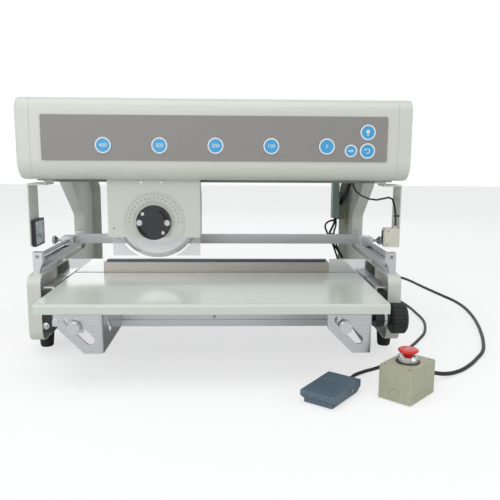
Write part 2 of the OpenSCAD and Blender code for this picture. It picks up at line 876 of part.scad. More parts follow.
module belt_loop(r) {
  translate([-pulley_x, -r]) square([2 * pulley_x, 2 * r]);
  translate([-pulley_x, 0]) circle(r = r);
  translate([pulley_x, 0]) circle(r = r);
}

module drive_belt() {
  color(black) along_y(belt_y0, belt_y1) translate([0, pulley_z]) difference() {
    belt_loop(pulley_r + belt_t);
    belt_loop(pulley_r);
  }
}

module pulley(x) {
  color(alu) difference() {
    union() {
      along_y(belt_y0, belt_y1) translate([x, pulley_z]) knurl_2d(pulley_r - slide_gap, 0.7, 24);
      bar_y(x, pulley_z, belt_y1, belt_y1 + 6, 7.5);
    }
    bar_y(x, pulley_z, belt_y0 - cut, belt_y1 + 6 + cut, motor_shaft_r + fit_gap);
  }
}

module drive_pulley() {
  pulley(pulley_x);
}

module idler_pulley() {
  pulley(-pulley_x);
}

unit_at = [-seam_x + 90, 120, hood_z0];
unit_size = [180, 160, 82];
module control_unit() {
  rib = 12;
  color([0.7, 0.71, 0.72]) translate(unit_at) difference() {
    cube(unit_size);
    for (x = [rib:rib:unit_size.x - 2 * rib]) translate([x, -cut, 20]) cube([5, 5, unit_size.z - 40]);
  }
}

module gland(r) {
  cylinder(h = 4, r = r, $fn = 6);
  translate([0, 0, 4]) cylinder(h = 5, r = r - 1.2);
  translate([0, 0, 9]) cylinder(h = 3, r1 = r - 1.2, r2 = r - 3.5);
}

gland_len = 12;
module rear_connectors() {
  color(black) {
    for (z = [stop_gland_z, pedal_gland_z])
      translate([gland_x, frame_back, z]) rotate([-90, 0, 0]) gland(gland_r);
    difference() {
      union() {
        block([inlet_x - 13.7, hood_back - 16, inlet_z - 23.7], [inlet_x + 13.7, hood_back, inlet_z + 23.7]);
        translate([inlet_x, 0, inlet_z]) along_y(hood_back - slide_gap, hood_back + 3) round_rect(36, 58, 3);
      }
      translate([inlet_x, 0, inlet_z]) along_y(hood_back - 10, hood_back + 4) round_rect(20, 26, 3);
    }
    for (x = [-6, 0, 6])
      block([inlet_x + x - 1, hood_back - 11, inlet_z - 3], [inlet_x + x + 1, hood_back - 2, inlet_z + 3]);
  }
}

// ------------------------------------------------------------ carriage, head

carriage_back = slot_back - rail_t - 16;
carriage_t = 10;
block_rail_back = slot_back - 3;
module carriage_block() {
  color(steel) translate([head_x, 0, 0]) along_x(-35, 35) difference() {
    translate([carriage_back, rail_z - 23.5]) square([block_rail_back - carriage_back, 47]);
    translate([slot_back - rail_t - slide_gap, rail_z - rail_h / 2 - slide_gap])
      square([rail_t + cut, rail_h + 2 * slide_gap]);
  }
}

plate_back = -head_front + 4;
module carriage_plate() {
  y0 = carriage_back - carriage_t;
  z1 = pulley_z - pulley_r - belt_t - slide_gap;
  color(alu) translate([head_x, 0, 0]) {
    along_y(y0, carriage_back) polygon(rounded([[-75, hood_z0 + 6], [75, hood_z0 + 6], [75, z1 - 20], [30, z1 - 20],
      [30, z1], [-30, z1], [-30, z1 - 20], [-75, z1 - 20]], [4, 4, 4, 6, 3, 3, 6, 4]));
    for (s = [-1, 1]) block([s * 50 - 20, plate_back, hood_z0 + 24], [s * 50 + 20, y0, hood_z0 + 68]);
  }
}

arbor_z = knife_z + knife_gap + round_r - throw;
arbor_back = -18;
head_side_t = 3;
module head_shell() {
  hw = head_w / 2;
  top = hood_z0 + 73;
  color(paint) translate([head_x, 0, 0]) difference() {
    union() {
      along_y(-head_front, plate_back) translate([-hw, head_z]) square([head_w, top - head_z]);
      for (s = [0, 1]) mirror([s, 0, 0]) along_x(hw - head_side_t, hw) polygon([[-head_front, head_z],
        [22, head_z], [22, 290], [-6, 314], [-6, hood_z0 + 4], [-26, hood_z0 + 16], [-26, top], [-head_front, top]]);
      bar_y(0, arbor_z, plate_back - 1, arbor_back, shaft_d / 2 + 9);
    }
    bar_y(0, arbor_z, -head_front - cut, arbor_back + cut, shaft_d / 2 + fit_gap);
    // Small tell-tale hole at the lower left
    bar_y(-hw + 11, head_z + 17, -head_front - cut, plate_back + cut, 1.6);
  }
}

scale_t = 1.5;
module angle_scale() {
  color([0.82, 0.84, 0.79]) translate([head_x, 0, 0]) difference() {
    bar_y(0, arbor_z, -head_front - scale_t, -head_front, scale_r);
    bar_y(0, arbor_z, -head_front - scale_t - cut, -head_front + cut, shaft_d / 2 + 0.5);
    // Flat where the scale meets the plate's lower edge
    block([-scale_r, -head_front - 5, 0], [scale_r, -head_front + 5, head_z]);
  }
}

guard_y = -14;
module blade_guard() {
  hw = head_w / 2;
  z0 = head_z - 41;
  z1 = head_z + 20;
  color([0.80, 0.85, 0.88, 0.5]) translate([head_x, 0, 0]) for (s = [0, 1]) mirror([s, 0, 0])
    along_y(guard_y, guard_y + guard_t) difference() {
      union() {
        translate([0, z0]) square([hw - 1.5, head_z - 0.2 - z0]);
        translate([0, head_z - 1]) square([hw - head_side_t - 0.2, z1 - head_z + 1]);
      }
      translate([0, arbor_z + throw]) circle(r = round_r + 2.5, $fn = 128);
      translate([-cut, z0 - cut]) square([cut + 6, z1 - z0 + 2 * cut]);
    }
}

hub_front = -head_front - 12;
hub_back = -head_front - scale_t - slide_gap;
clamp_screw_r = 26;
module eccentric_hub() {
  j0 = arbor_back + 2;
  j1 = edge_y + round_t / 2 + 6;
  color(black) translate([head_x, 0, 0]) difference() {
    union() {
      bar_y(0, arbor_z, hub_front + 1.5, hub_back, hub_r);
      translate([0, hub_front + 1.5, arbor_z]) rotate([90, 0, 0]) cylinder(h = 1.5, r1 = hub_r, r2 = hub_r - 1.5);
      bar_y(0, arbor_z, hub_back - 1, j0, shaft_d / 2);
      bar_y(0, arbor_z + throw, j0 - 1, j1 + 2, journal_d / 2);
      bar_y(0, arbor_z + throw, j1, j1 + 3, journal_d / 2 + 4);
    }
    // Two curved slots that the clamp screws stand in
    for (a = [0, 180]) translate([0, hub_front, arbor_z]) rotate([90, 0, 0]) rotate(a)
      translate([0, 0, -6]) rotate_extrude(angle = 62, $fn = 96) translate([clamp_screw_r - 3, 0]) square([6, 8]);
    for (a = [0, 180]) translate([0, 0, arbor_z]) rotate([0, -a, 0])
      bar_y(clamp_screw_r, 0, hub_front - cut, hub_front + 6, 4.6);
  }
}

module round_knife() {
  y0 = edge_y - round_t / 2;
  y1 = edge_y + round_t / 2;
  bore = journal_d / 2 + fit_gap;
  color(steel) translate([head_x, 0, arbor_z + throw]) rotate([-90, 0, 0]) rotate_extrude($fn = 128)
    polygon([[bore, y0 - 7], [22, y0 - 7], [24, y0 - 5.5], [24, y0], [round_r - 9, y0], [round_r, edge_y],
      [round_r - 9, y1], [22, y1], [22, y1 + 5], [bore, y1 + 5]]);
}

// ------------------------------------------------- light barrier and wiring

bridge_z = frame_top;
strip_x = hx - 2;
strip_y0 = -50;
foot_x = pan_step + 7;
module barrier_brackets() {
  y1 = strip_y0 + strip_w;
  color(paint) both_sides() {
    along_y(strip_y0, y1) polygon([[foot_x, bridge_z], [foot_x, bridge_z - 3], [foot_x + 14, bridge_z - 3],
      [foot_x + 14, bridge_z - 9], [strip_x - 2, bridge_z - 9], [strip_x - 2, strip_z], [strip_x, strip_z],
      [strip_x, bridge_z - 6], [foot_x + 17, bridge_z - 6], [foot_x + 17, bridge_z]]);
  }
}

module reflector() {
  x1 = strip_x - 2 - 0.2;
  y0 = strip_y0 + 6;
  z0 = strip_z - 3;
  color(black) difference() {
    mirror([1, 0, 0]) block([x1 - 7, y0, z0], [x1, y0 + 56, z0 + reflector_h]);
    // Sunk face with rows of upright ridges
    mirror([1, 0, 0]) block([x1 - 8, y0 + 3, z0 + 3], [x1 - 6, y0 + 53, z0 + reflector_h - 3]);
  }
  color(steel) mirror([1, 0, 0]) for (i = [0:19])
    translate([x1 - 6, y0 + 3.2 + i * 2.48, z0 + 3]) linear_extrude(reflector_h - 6)
      polygon([[0, 0], [0, 2.4], [-1, 1.2]]);
}

sensor_y0 = strip_y0 - 8;
sensor_x0 = strip_x - 31;
sensor_z1 = strip_z + sensor_h;
module sensor() {
  x1 = strip_x - 2 - 0.2;
  color([0.86, 0.85, 0.78]) {
    difference() {
      block([sensor_x0, sensor_y0, strip_z], [x1, sensor_y0 + 20, sensor_z1]);
      for (p = [[7, sensor_h - 5], [5, 5]])
        bar_y(sensor_x0 + p.x, strip_z + p.y, sensor_y0 - cut, sensor_y0 + 1.5, 2.2);
    }
    block([sensor_x0 - 2, sensor_y0 + 3, strip_z + 4], [sensor_x0, sensor_y0 + 17, sensor_z1 - 4]);
    translate([x1 - 6, sensor_y0 + 12, sensor_z1]) cylinder(h = 4, r = 3.5);
  }
}

// Routes that the object holds all the way
sensor_lead_d = 4;
sensor_route = [for (p = [[-37, 240, 323], [-37, 240, 318], [-37.4, 234, 309], [-37.5, 219, 300],
  [-37, 193, 291], [-33, 155, 284], [-26, 110, 280], [-19, 70, 281], [-13, 30, 287], [-10, 4, 291],
  [-8.4, -18, 289], [-8.2, -34, 277], [-8.2, -43, 262], [-8.2, -46, 248], [-8.2, -46, 240]])
  [strip_x + p.x, p.y, p.z]];
harness_d = 12;
harness_route = [for (p = [[12.5, 350, 321], [12.5, 350, 316], [12, 354, 307], [10.5, 364, 295], [8.5, 378, 281],
  [5.5, 396, 265], [2.5, 412, 252], [1.5, 422, 247], [1.5, 428.5, 246]])
  [rim_x + p.x, p.y, p.z]];
module wiring() {
  color(black) {
    tube(sensor_route, sensor_lead_d, 8, 1);
    tube(harness_route, harness_d, 10, 1);
    translate(sensor_route[0]) cylinder(h = 1, r = 5);
  }
}

duct_x0 = rim_x - 23.5;
duct_x1 = duct_x0 + 17;
duct_z0 = 207;
duct_y0 = 400;
module cable_duct() {
  y1 = frame_back - frame_t - slide_gap;
  color([0.62, 0.70, 0.66]) difference() {
    union() {
      block([duct_x0, duct_y0, duct_z0], [duct_x1, y1, frame_top]);
      block([duct_x1 - 1, y1 - 3, duct_z0 - 6], [web_x - 1, y1, duct_z0 + 68]);
    }
    block([duct_x0 + 2, duct_y0 + 2, duct_z0 - cut], [duct_x1 - 2, y1 - 3, frame_top + cut]);
    bar_y(rim_x + 1.5, 246, y1 - 4, y1 + cut, 7);
  }
}

// ------------------------------------------------------- stop box and pedal

box_at = [305.7, -293.3];
box_turn = 46;
lid_z = 14;
lead_z = 20;
module in_box() {
  translate([box_at.x, box_at.y, 0]) rotate(box_turn) children();
}

module stop_box() {
  color([0.73, 0.74, 0.62]) in_box() {
    difference() {
      union() {
        translate([0, 0, 1.5]) linear_extrude(lid_z - 1.9) round_rect(box_l, box_w, 3);
        translate([0, 0, lid_z - 1]) linear_extrude(1.5) round_rect(box_l - 1.2, box_w - 1.2, 2.4);
        translate([0, 0, lid_z]) linear_extrude(box_h - lid_z - 0.8) round_rect(box_l, box_w, 3);
        translate([0, 0, box_h - 0.9]) linear_extrude(0.9) round_rect(box_l - 1.4, box_w - 1.4, 2.6);
        // Raised field round the knockout in the end face
        translate([-box_l / 2 - 0.5, -box_w * 0.32, 2]) cube([1, box_w * 0.62, box_h * 0.48]);
      }
      translate([0, 0, box_h - 22]) cylinder(h = 22 + cut, r = 6 + slide_gap);
      for (x = [-1, 1]) for (y = [-1, 1])
        translate([x * (box_l / 2 - 8), y * (box_w / 2 - 7), box_h - 2]) cylinder(h = 3, r = 2.2);
      translate([-box_l / 2 - cut, 0, 14]) rotate([0, 90, 0]) difference() {
        cylinder(h = cut + 0.4, r = 8.6);
        translate([0, 0, -cut]) cylinder(h = 3 * cut, r = 8);
      }
      translate([box_l / 2 - 10, 0, lead_z]) rotate([0, 90, 0]) cylinder(h = 12, r = stop_lead_d / 2 + 1);
    }
    for (x = [-1, 1]) for (y = [-1, 1])
      translate([x * (box_l / 2 - 9), y * (box_w / 2 - 9), 0]) cylinder(h = 2, r = 5);
    translate([box_l / 2, 0, lead_z]) rotate([0, 90, 0]) gland(8);
  }
}

module stop_bezel() {
  bore = 6 + slide_gap;
  color(steel) in_box() translate([0, 0, box_h]) rotate_extrude() polygon([[bore, 0], [16.2, 0], [16.2, 1.6],
    [15.4, 1.8], [15.4, 6], [13, 9.5], [12.2, 9.5], [10.5, 7], [bore, 7]]);
}

module stop_button() {
  r = stop_d / 2;
  z0 = box_h + 7 + stop_travel + slide_gap;
  color([0.86, 0.13, 0.09]) in_box() translate([0, 0, z0]) rotate_extrude() polygon([[0, -22], [5.97, -22],
    [5.97, 0], [9.5, 1.5], [r - 1.2, 5.5], [r, 7], [r - 0.3, 8.6], [r - 2, 9.6], [6, 10.6], [0, 10.8]]);
}

pedal_at = [184.5, -300.4];
pedal_turn = 52;
pin_u = 15;
pin_z = 13;
pin_r = 2;
pedal_front_h = pedal_h - 4;
module in_pedal() {
  translate([pedal_at.x, pedal_at.y, 0]) rotate(pedal_turn) children();
}

module pedal_base() {
  bl = pedal_l / 2 - 4;
  bw = pedal_w / 2 - 3.5;
  color([0.35, 0.42, 0.48]) in_pedal() {
    difference() {
      translate([0, 0, 1]) linear_extrude(9) round_rect(2 * bl, 2 * bw, 3);
      translate([-8, 0, 5]) linear_extrude(8) round_rect(2 * bl - 24, 2 * bw - 8, 3);
    }
    for (x = [-1, 1]) for (y = [-1, 1])
      translate([x * (bl - 8), y * (bw - 8), 0]) cylinder(h = 2, r = 5);
    // Ears that hold the hinge pin
    for (y = [-1, 1]) translate([pin_u - 6, y * (bw - 2) - 2, 5]) cube([12, 4, pin_z - 1]);
    translate([pin_u, -pedal_w / 2 + 0.5, pin_z]) rotate([-90, 0, 0]) cylinder(h = pedal_w - 1, r = pin_r);
    // Gland for the lead
    translate([bl - 1, 0, 5.5]) rotate([0, 90, 0]) cylinder(h = 9, r1 = 4.4, r2 = pedal_lead_d / 2 + 0.6);
  }
}

module pedal_plate() {
  hl = pedal_l / 2;
  hw = pedal_w / 2;
  wall = 2.4;
  clear = 2.6;
  color([0.42, 0.49, 0.54]) in_pedal() difference() {
    union() {
      translate([0, hw, 0]) rotate([90, 0, 0]) linear_extrude(pedal_w) polygon(rounded([[-hl, pedal_front_h - 9],
        [-hl + 10, 4.5], [hl - 12, 4.5], [hl, pedal_h - 14], [hl, pedal_h - 2], [-hl, pedal_front_h - 0.5]],
        [1, 4, 4, 2, 2, 1.5], 3));
      // Ridges across the front part of the tread
      for (i = [0:17]) let(u = -hl + 3 + i * 3)
        translate([u, -hw + 2, pedal_front_h - 0.9 + (u + hl) * 2.5 / pedal_l]) cube([1.4, pedal_w - 4, 0.9]);
    }
    translate([0, hw - wall, 0]) rotate([90, 0, 0]) linear_extrude(pedal_w - 2 * wall)
      polygon([[-hl - cut, -cut], [hl + cut, -cut], [hl + cut, 9.5 + clear], [hl - wall, pedal_h - 7],
        [hl - wall, pedal_h - 5.5], [-hl + wall, pedal_front_h - 3.8], [-hl + wall, pedal_front_h - 10],
        [-hl - cut, pedal_front_h - 10]]);
    translate([pin_u, -hw - cut, pin_z]) rotate([-90, 0, 0]) cylinder(h = pedal_w + 2 * cut, r = pin_r + fit_gap);
  }
}

// Route of the stop box's lead, from the machine's gland to the box's gland
function box_gland(out) = [box_at.x + (box_l / 2 + out) * cos(box_turn),
  box_at.y + (box_l / 2 + out) * sin(box_turn), lead_z];
stop_route = [[gland_x, frame_back + gland_len, stop_gland_z], [gland_x, frame_back + gland_len + 9, stop_gland_z],
  [334, 468, 56], [335, 484, 46], [338, 508, 26],
  [346, 535, 9], [362, 565, 4], [390, 598, 3.5], [430, 624, 3.5], [480, 636, 3.5], [524, 628, 3.5], [549, 598, 3.5], [563, 550, 3.5],
  [572, 490, 3.5], [582, 430, 3.5], [594, 364, 3.5], [604, 306, 3.5], [605, 248, 3.5], [596, 176, 3.5],
  [579, 98, 3.5], [558, 25, 3.5], [535, -41, 3.5], [511, -95, 3.5], [485, -133, 3.5], [456, -170, 3.5],
  [423, -202, 4], [393, -221, 7], [371, -232, 13], [354.3, -243, 19], box_gland(gland_len + 8),
  box_gland(gland_len)];

module stop_lead() {
  color(black) tube(stop_route, stop_lead_d, 10, 1);
}

// Route of the pedal's lead, from the machine's gland to the pedal
function pedal_gland(out) = [pedal_at.x + (pedal_l / 2 + out) * cos(pedal_turn),
  pedal_at.y + (pedal_l / 2 + out) * sin(pedal_turn), 5.5];
pedal_route = [[gland_x, frame_back + gland_len, pedal_gland_z], [gland_x, frame_back + gland_len + 8, pedal_gland_z],
  [334, 465, 92], [337, 480, 82], [345, 500, 56],
  [358, 510, 28], [378, 506, 9], [402, 484, 3], [428, 440, 3], [448, 380, 3], [462, 310, 3], [469, 240, 3], [469, 185, 3], [467, 135, 3],
  [461, 100, 3], [450, 62, 3], [435, 23, 3], [413, -15, 3], [392, -48, 3], [356, -98, 3], [325, -141, 3],
  [289, -178, 3], [258, -200, 3.5], [236, -222, 4.5], [225.5, -244, 5.5], pedal_gland(12), pedal_gland(4)];

module pedal_lead() {
  color(black) tube(pedal_route, pedal_lead_d, 10, 1);
}

// -------------------------------------------------------------------- parts

left_side_frame();
right_side_frame();
rubber_feet();
base_beam();
knife_bed();
lower_knife();
polished_end_plates();
table_brackets();
adjuster_blocks();
rod_brackets();
guide_rails();
bottom_pan();
housing_cover();
end_caps();
rear_cover();
control_panel();
guide_beam();
belt_mounts();
drive_motor();
drive_belt();
control_unit();
rear_connectors();
barrier_brackets();
reflector();
sensor();
wiring();
cable_duct();
stop_box();
stop_bezel();
pedal_base();
stop_lead();
pedal_lead();
table_top();
table_lugs();
left_clamp_knob();
right_clamp_knob();
thrust_washer();
handwheel();
rear_fence();
left_thumb_screw();
right_thumb_screw();
key_400();
key_300();
key_200();
key_100();
key_0();
lamp_key();
arrow_key();
return_key();
drive_pulley();
idler_pulley();
carriage_block();
carriage_plate();
head_shell();
angle_scale();
blade_guard();
eccentric_hub();
round_knife();
stop_button();
pedal_plate();
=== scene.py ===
"""Dresses the depaneling machine: finishes for its solids, cords, small fittings, lettering and studio.

Lengths in the helper functions are in millimetres and are brought to metres when a piece is placed.
"""
import math

import bmesh
import bpy
from mathutils import Matrix, Vector


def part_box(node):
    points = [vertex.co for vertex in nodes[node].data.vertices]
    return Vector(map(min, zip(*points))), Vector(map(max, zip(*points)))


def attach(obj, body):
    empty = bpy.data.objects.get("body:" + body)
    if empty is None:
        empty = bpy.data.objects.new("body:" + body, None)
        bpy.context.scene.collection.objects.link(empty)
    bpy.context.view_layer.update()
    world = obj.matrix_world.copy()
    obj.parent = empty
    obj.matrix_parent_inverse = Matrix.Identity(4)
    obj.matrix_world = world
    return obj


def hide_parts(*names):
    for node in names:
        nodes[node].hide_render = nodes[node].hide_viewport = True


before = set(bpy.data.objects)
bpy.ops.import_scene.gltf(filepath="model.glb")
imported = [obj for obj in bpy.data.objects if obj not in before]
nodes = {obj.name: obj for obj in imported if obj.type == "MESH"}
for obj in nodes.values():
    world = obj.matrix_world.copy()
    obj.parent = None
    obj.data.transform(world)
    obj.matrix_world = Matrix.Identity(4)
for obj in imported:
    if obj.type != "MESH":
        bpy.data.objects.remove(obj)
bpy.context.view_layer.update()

MM = 0.001
FRONT = (0, -1, 0)
BACK = (0, 1, 0)
UP = (0, 0, 1)
RIGHT = (1, 0, 0)
LEFT = (-1, 0, 0)
IN_PLACE = Matrix.Scale(MM, 4)


# ---------------------------------------------------------------- camera

camera = bpy.data.objects.new("camera", bpy.data.cameras.new("camera"))
bpy.context.scene.collection.objects.link(camera)
camera.data.sensor_width = 36.0
camera.data.lens = 43.2
camera.data.clip_end = 20.0
YAW, PITCH, ROLL = 0.0313388, 0.1595871, -0.0064776
forward = Vector((math.sin(YAW) * math.cos(PITCH), math.cos(YAW) * math.cos(PITCH), -math.sin(PITCH)))
level = Vector((math.cos(YAW), -math.sin(YAW), 0))
plumb = forward.cross(level)
right = math.cos(ROLL) * level + math.sin(ROLL) * plumb
down = -math.sin(ROLL) * level + math.cos(ROLL) * plumb
camera.matrix_world = Matrix.Translation((0.028684, -1.187420, 0.376062)) @ Matrix(
    (right, -down, -forward)
).transposed().to_4x4()
bpy.context.scene.camera = camera
bpy.context.scene.view_settings.view_transform = "Standard"


# ------------------------------------------------------------- finishes

def mix_tint(colour, factor):
    """The colour made lighter or darker by a factor."""
    return tuple(min(1.0, c * factor) for c in colour)


def finish(name, colour, rough, metal=0.0, grain=(60, 60, 60), spread=0.04, rough_spread=0.05,
           bump=0.02, bump_grain=None, bump_depth=0.0002, coat=0.0, coat_rough=0.1, detail=4.0,
           specular=0.5, alpha=1.0, transmission=0.0):
    """A paint, metal or plastic whose tone, gloss and surface vary a little over the piece."""
    made = bpy.data.materials.new(name)
    made.use_nodes = True
    tree = made.node_tree
    shader = tree.nodes["Principled BSDF"]
    shader.inputs["Metallic"].default_value = metal
    shader.inputs["Coat Weight"].default_value = coat
    shader.inputs["Coat Roughness"].default_value = coat_rough
    shader.inputs["Specular IOR Level"].default_value = specular
    shader.inputs["Alpha"].default_value = alpha
    shader.inputs["Transmission Weight"].default_value = transmission
    where = tree.nodes.new("ShaderNodeTexCoord")

    def pattern(scale, fineness):
        spot = tree.nodes.new("ShaderNodeMapping")
        spot.inputs["Scale"].default_value = scale
        tree.links.new(where.outputs["Object"], spot.inputs["Vector"])
        cloud = tree.nodes.new("ShaderNodeTexNoise")
        cloud.inputs["Scale"].default_value = 1.0
        cloud.inputs["Detail"].default_value = fineness
        tree.links.new(spot.outputs["Vector"], cloud.inputs["Vector"])
        return cloud.outputs["Fac"]

    tone = pattern(grain, detail)
    ramp = tree.nodes.new("ShaderNodeValToRGB")
    ramp.color_ramp.elements[0].position = 0.3
    ramp.color_ramp.elements[1].position = 0.7
    ramp.color_ramp.elements[0].color = (*mix_tint(colour, 1 - spread), 1)
    ramp.color_ramp.elements[1].color = (*mix_tint(colour, 1 + spread), 1)
    tree.links.new(tone, ramp.inputs["Fac"])
    tree.links.new(ramp.outputs["Color"], shader.inputs["Base Color"])
    gloss = tree.nodes.new("ShaderNodeMapRange")
    gloss.inputs["From Min"].default_value = 0.3
    gloss.inputs["From Max"].default_value = 0.7
    gloss.inputs["To Min"].default_value = max(0.02, rough - rough_spread)
    gloss.inputs["To Max"].default_value = rough + rough_spread
    tree.links.new(tone, gloss.inputs["Value"])
    tree.links.new(gloss.outputs["Result"], shader.inputs["Roughness"])
    if bump:
        relief = tree.nodes.new("ShaderNodeBump")
        relief.inputs["Strength"].default_value = bump
        relief.inputs["Distance"].default_value = bump_depth
        tree.links.new(pattern(bump_grain or grain, 3.0), relief.inputs["Height"])
        tree.links.new(relief.outputs["Normal"], shader.inputs["Normal"])
    return made


PEEL = (900, 900, 900)
enamel = finish("enamel", (0.70, 0.72, 0.65), 0.34, grain=(6, 6, 6), spread=0.015, bump=0.12,
                bump_grain=PEEL, coat=0.25)
table_enamel = finish("table_enamel", (0.66, 0.72, 0.64), 0.22, grain=(5, 5, 5), spread=0.02, bump=0.08,
                      bump_grain=PEEL, coat=0.4)
panel_film = finish("panel_film", (0.300, 0.285, 0.270), 0.42, grain=(300, 300, 300), spread=0.05, bump=0.2,
                    bump_grain=(2500, 2500, 2500))
# The bottom pan's paint is the frame enamel's hue at half its brightness: painted shade for the dark strip under the
# housing's lower edge.
pan_grey = finish("pan_grey", (0.34, 0.35, 0.31), 0.5, grain=(20, 20, 20), bump=0.1, bump_grain=PEEL)
brushed = finish("brushed_stainless", (0.66, 0.67, 0.68), 0.30, metal=1.0, grain=(12, 1400, 1400), spread=0.08,
                 rough_spread=0.09, bump=0.12)
bed_steel = finish("ground_bed_steel", (0.52, 0.48, 0.44), 0.34, metal=1.0, grain=(8, 1500, 1500), spread=0.12,
                   rough_spread=0.08, bump=0.15)
anodised = finish("anodised_aluminium", (0.74, 0.75, 0.76), 0.38, metal=1.0, grain=(6, 900, 900), spread=0.04,
                  rough_spread=0.05, bump=0.1)
turned_steel = finish("turned_steel", (0.72, 0.73, 0.74), 0.22, metal=1.0, grain=(700, 700, 700), spread=0.06,
                      bump=0.05)
mirror_steel = finish("polished_stainless", (0.80, 0.81, 0.82), 0.07, metal=1.0, grain=(30, 30, 30), spread=0.02,
                      rough_spread=0.03, bump=0.02)
tool_steel = finish("blued_tool_steel", (0.10, 0.115, 0.15), 0.32, metal=1.0, grain=(10, 900, 900), spread=0.2,
                    bump=0.1)
knife_steel = finish("knife_steel", (0.70, 0.71, 0.72), 0.18, metal=1.0, grain=(260, 260, 260), spread=0.05,
                     rough_spread=0.06, bump=0.04)
black_oxide = finish("black_oxide", (0.020, 0.020, 0.022), 0.36, metal=0.0, grain=(120, 120, 120), spread=0.25,
                     bump=0.06, specular=0.6)
black_plastic = finish("black_plastic", (0.018, 0.018, 0.020), 0.42, grain=(200, 200, 200), spread=0.2, bump=0.12,
                       bump_grain=(1800, 1800, 1800))
rubber = finish("rubber", (0.016, 0.016, 0.017), 0.55, grain=(150, 150, 150), spread=0.2, rough_spread=0.1, bump=0.2,
                bump_grain=(900, 900, 900))
cable_jacket = finish("cable_jacket", (0.014, 0.014, 0.016), 0.36, grain=(90, 90, 90), spread=0.2, bump=0.1,
                      bump_grain=(1200, 1200, 1200))
key_blue = finish("key_blue", (0.065, 0.40, 0.74), 0.28, grain=(80, 80, 80), spread=0.04, bump=0.03)
key_white = finish("key_white", (0.83, 0.85, 0.86), 0.3, grain=(80, 80, 80), spread=0.02, bump=0.03)
stop_red = finish("stop_red", (0.74, 0.022, 0.012), 0.25, grain=(60, 60, 60), spread=0.06, bump=0.03, coat=0.4)
box_cream = finish("box_cream", (0.47, 0.48, 0.35), 0.45, grain=(25, 25, 25), spread=0.05, bump=0.25,
                   bump_grain=(1400, 1400, 1400))
pedal_paint = finish("pedal_paint", (0.120, 0.170, 0.215), 0.46, grain=(160, 160, 160), spread=0.14, bump=0.35,
                     bump_grain=(700, 700, 700))
clear_guard = finish("clear_guard", (0.86, 0.90, 0.91), 0.08, grain=(30, 30, 30), spread=0.01, bump=0.01, alpha=0.42)
sensor_cream = finish("sensor_cream", (0.70, 0.69, 0.60), 0.32, grain=(60, 60, 60), spread=0.03, bump=0.05)
# The cable duct is painted green-grey like the frame; its darker, greener tone is painted shade from inside the side
# frame's channel.
duct_green = finish("duct_green", (0.34, 0.44, 0.40), 0.5, grain=(60, 60, 60), spread=0.05, bump=0.1)
scale_plate = finish("scale_plate", (0.66, 0.69, 0.62), 0.3, grain=(40, 40, 40), spread=0.02, bump=0.05, coat=0.2)
zinc = finish("zinc_screw", (0.70, 0.71, 0.72), 0.28, metal=1.0, grain=(400, 400, 400), spread=0.08, bump=0.08)
ink_black = finish("ink_black", (0.03, 0.03, 0.03), 0.5, grain=(90, 90, 90), spread=0.1, bump=0.02)
dark_steel = finish("dark_turned_steel", (0.36, 0.37, 0.39), 0.26, metal=1.0, grain=(500, 500, 500), spread=0.1,
                    bump=0.05)
earth_yellow = finish("earth_wire", (0.62, 0.50, 0.03), 0.4, grain=(150, 150, 150), spread=0.12, bump=0.05)
prism_silver = finish("prism_sheet", (0.55, 0.57, 0.58), 0.22, metal=0.6, grain=(420, 420, 420), spread=0.25,
                      rough_spread=0.15, bump=0.5, bump_grain=(900, 900, 900))
unit_grey = finish("unit_grey", (0.45, 0.46, 0.47), 0.4, grain=(60, 60, 60), spread=0.03, bump=0.1)

COATS = {
    enamel: ["left_side_frame", "right_side_frame", "housing_cover", "end_caps", "rear_cover", "head_shell",
             "barrier_brackets"],
    table_enamel: ["table_top"],
    panel_film: ["control_panel"],
    pan_grey: ["bottom_pan"],
    anodised: ["base_beam", "rod_brackets", "rear_fence", "guide_beam", "belt_mounts", "carriage_plate",
               "drive_pulley", "idler_pulley"],
    brushed: ["table_brackets", "table_lugs"],
    bed_steel: ["knife_bed"],
    turned_steel: ["left_clamp_knob", "right_clamp_knob", "thrust_washer", "carriage_block"],
    dark_steel: ["left_thumb_screw", "right_thumb_screw", "guide_rails"],
    mirror_steel: ["polished_end_plates", "stop_bezel"],
    tool_steel: ["lower_knife"],
    knife_steel: ["round_knife"],
    black_oxide: ["adjuster_blocks", "eccentric_hub", "drive_motor"],
    black_plastic: ["handwheel", "rear_connectors", "reflector"],
    cable_jacket: ["wiring"],
    rubber: ["rubber_feet", "drive_belt"],
    key_blue: ["key_400", "key_300", "key_200", "key_100", "key_0", "lamp_key", "arrow_key", "return_key"],
    stop_red: ["stop_button"],
    box_cream: ["stop_box"],
    pedal_paint: ["pedal_base", "pedal_plate"],
    clear_guard: ["blade_guard"],
    sensor_cream: ["sensor"],
    duct_green: ["cable_duct"],
    scale_plate: ["angle_scale"],
    unit_grey: ["control_unit"],
}
for coat_material, coated in COATS.items():
    for name in coated:
        nodes[name].data.materials.clear()
        nodes[name].data.materials.append(coat_material)


# ------------------------------------------------------------ piece making

def place(at, normal, up=UP):
    """Stands local Z along normal and local Y as near up as it can, at a point in millimetres."""
    z = Vector(normal).normalized()
    y = Vector(up) - Vector(up).dot(z) * z
    if y.length < 1e-6:
        y = Vector(BACK)
    y.normalize()
    turned = Matrix((y.cross(z), y, z)).transposed().to_4x4()
    return Matrix.Translation(Vector(at) * MM) @ turned @ Matrix.Scale(MM, 4)


def add(bm, part, matrix):
    """Sets one shape into a piece."""
    part.transform(matrix)
    bmesh.ops.recalc_face_normals(part, faces=part.faces)
    carrier = bpy.data.meshes.new("carrier")
    part.to_mesh(carrier)
    part.free()
    bm.from_mesh(carrier)
    bpy.data.meshes.remove(carrier)


def lathe(bm, profile, matrix, steps=32):
    """Turns a profile of (radius, height) points about the local Z axis."""
    part = bmesh.new()
    row = [part.verts.new((r, 0, h)) for r, h in profile]
    line = [part.edges.new(pair) for pair in zip(row, row[1:])]
    bmesh.ops.spin(part, geom=row + line, cent=(0, 0, 0), axis=(0, 0, 1), angle=math.tau, steps=steps,
                   use_merge=True, use_duplicate=False)
    bmesh.ops.remove_doubles(part, verts=part.verts, dist=1e-4)
    add(bm, part, matrix)


